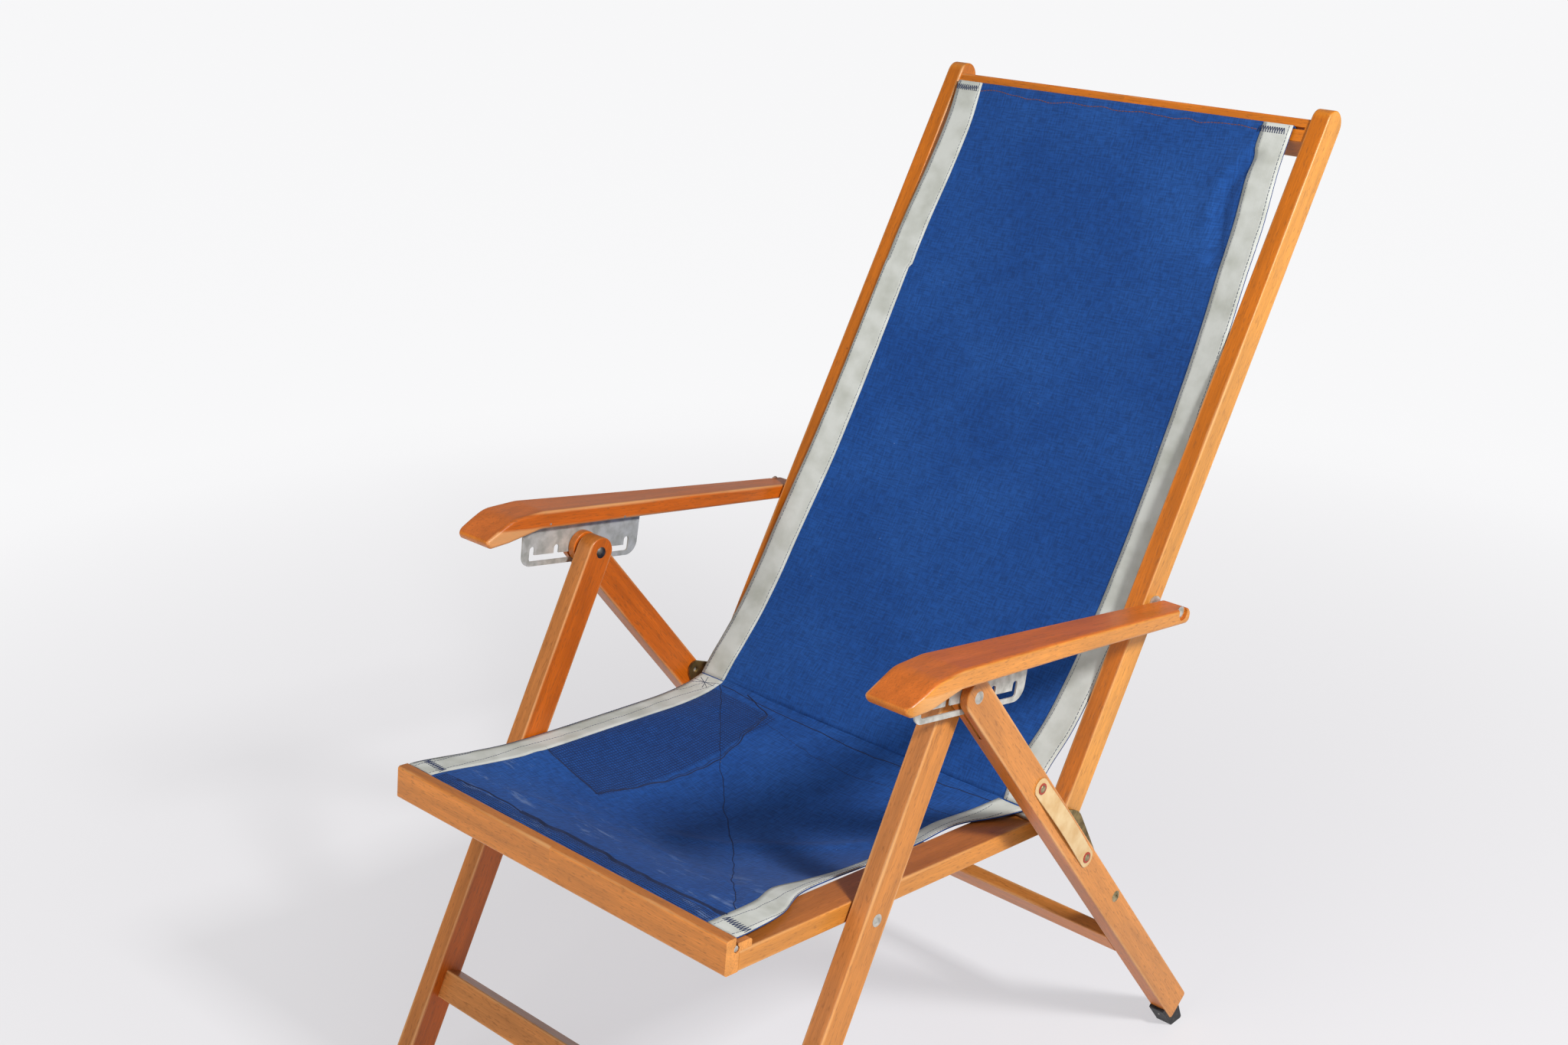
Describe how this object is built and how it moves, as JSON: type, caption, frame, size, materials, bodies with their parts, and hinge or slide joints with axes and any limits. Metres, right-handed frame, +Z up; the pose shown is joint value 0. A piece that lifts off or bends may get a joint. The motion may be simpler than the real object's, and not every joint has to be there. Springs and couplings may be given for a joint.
{
  "type": "folding deck chair",
  "caption": "Folding varnished beech deck chair with a blue canvas seat and back, flared arms and a back that reclines in notches.",
  "frame": {"origin": "on the floor under the centre of the chair's box", "axes": "+Z up, the front faces -Y, +X is the sitter's left"},
  "size_m": [0.6326, 0.9676, 1.0331],
  "materials": {
    "wood": "varnished beech, honey coloured",
    "canvas": "blue woven cotton canvas",
    "tape": "pale grey woven cotton tape",
    "steel": "dull zinc plated steel",
    "zinc_plate": "weathered galvanised plate",
    "brass_plate": "dull brassed steel",
    "cream_plastic": "yellowed moulded plastic",
    "red_plastic": "red fibre washer",
    "black_plastic": "black moulded plastic"
  },
  "bodies": {
    "seat_frame": {"seat_side_rail_left": "wood", "seat_side_rail_right": "wood", "seat_front_rail": "wood", "seat_hem_rod": "steel", "seat_cross_rod": "steel", "seat_pivot_bolts": "steel", "seat_pivot_nuts": "steel", "seat_pivot_washers": "steel", "seat_canvas": "canvas", "seat_edge_tapes": "tape"},
    "front_legs": {"front_leg_left": "wood", "front_leg_right": "wood", "front_stretcher": "wood", "front_glides": "black_plastic", "front_glide_nails": "steel", "top_pivot_inner_rivets": "steel"},
    "rear_legs": {"rear_leg_left": "wood", "rear_leg_right": "wood", "rear_stretcher": "wood", "rear_glides": "black_plastic", "rear_glide_nails": "steel", "top_pivot_outer_rivets": "steel", "top_pivot_washers": "steel", "lock_strip_left": "cream_plastic", "lock_strip_right": "cream_plastic", "lock_strip_screws": "brass_plate", "lock_strip_rings": "red_plastic", "lock_pins": "steel", "link_bolts": "brass_plate"},
    "hinge_links": {"hinge_link_left": "brass_plate", "hinge_link_right": "brass_plate", "hinge_pin_rivets": "steel"},
    "back_hinges": {"hinge_pins": "steel", "hinge_nuts": "steel", "hinge_washers": "steel"},
    "back_frame": {"back_upright_left": "wood", "back_upright_right": "wood", "top_rail": "wood", "top_hem_rod": "steel", "back_canvas": "canvas", "back_edge_tapes": "tape"},
    "arm_pivots": {"arm_bolts": "steel", "arm_bolt_washers": "steel"},
    "arms": {"armrest_left": "wood", "armrest_right": "wood", "notch_plate_left": "zinc_plate", "notch_plate_right": "zinc_plate", "plate_nails": "steel"}
  },
  "joints": [
    {"name": "fold", "type": "hinge", "parent": "seat_frame", "child": "front_legs", "pos_m": [0, -0.27043, 0.37051], "axis": [1, 0, 0], "range_deg": [0, 94.5]},
    {"name": "rear_leg_fold", "type": "hinge", "parent": "front_legs", "child": "rear_legs", "pos_m": [0, -0.15696, 0.57], "axis": [1, 0, 0], "range_deg": [-62.34, 0]},
    {"name": "link_fold", "type": "hinge", "parent": "rear_legs", "child": "hinge_links", "pos_m": [0, 0.10094, 0.23839], "axis": [1, 0, 0], "range_deg": [-153.23, 0]},
    {"name": "back_fold", "type": "hinge", "parent": "seat_frame", "child": "back_hinges", "pos_m": [0, 0.03395, 0.33448], "axis": [1, 0, 0], "range_deg": [0, 87.2], "deforming": ["seat_canvas", "seat_edge_tapes"]},
    {"name": "recline", "type": "hinge", "parent": "back_hinges", "child": "back_frame", "pos_m": [0, 0.03395, 0.33448], "axis": [1, 0, 0], "range_deg": [-18.8, 16.9], "deforming": ["back_canvas", "back_edge_tapes"]},
    {"name": "arm_swing", "type": "hinge", "parent": "back_frame", "child": "arm_pivots", "pos_m": [0, 0.17662, 0.55141], "axis": [1, 0, 0], "range_deg": [-12.24, 13.59]},
    {"name": "arm_fold", "type": "hinge", "parent": "arm_pivots", "child": "arms", "pos_m": [0, 0.17662, 0.55141], "axis": [1, 0, 0], "range_deg": [-100.76, 0]}
  ],
  "couplings": [
    {"joint": "rear_leg_fold", "follows": "fold", "ratio": -0.6576},
    {"joint": "link_fold", "follows": "fold", "ratio": -1.6194},
    {"joint": "back_fold", "follows": "fold", "ratio": 0.9206},
    {"joint": "arm_fold", "follows": "fold", "ratio": -1.0641},
    {"joint": "arm_swing", "follows": "recline", "ratio": -0.7123}
  ]
}
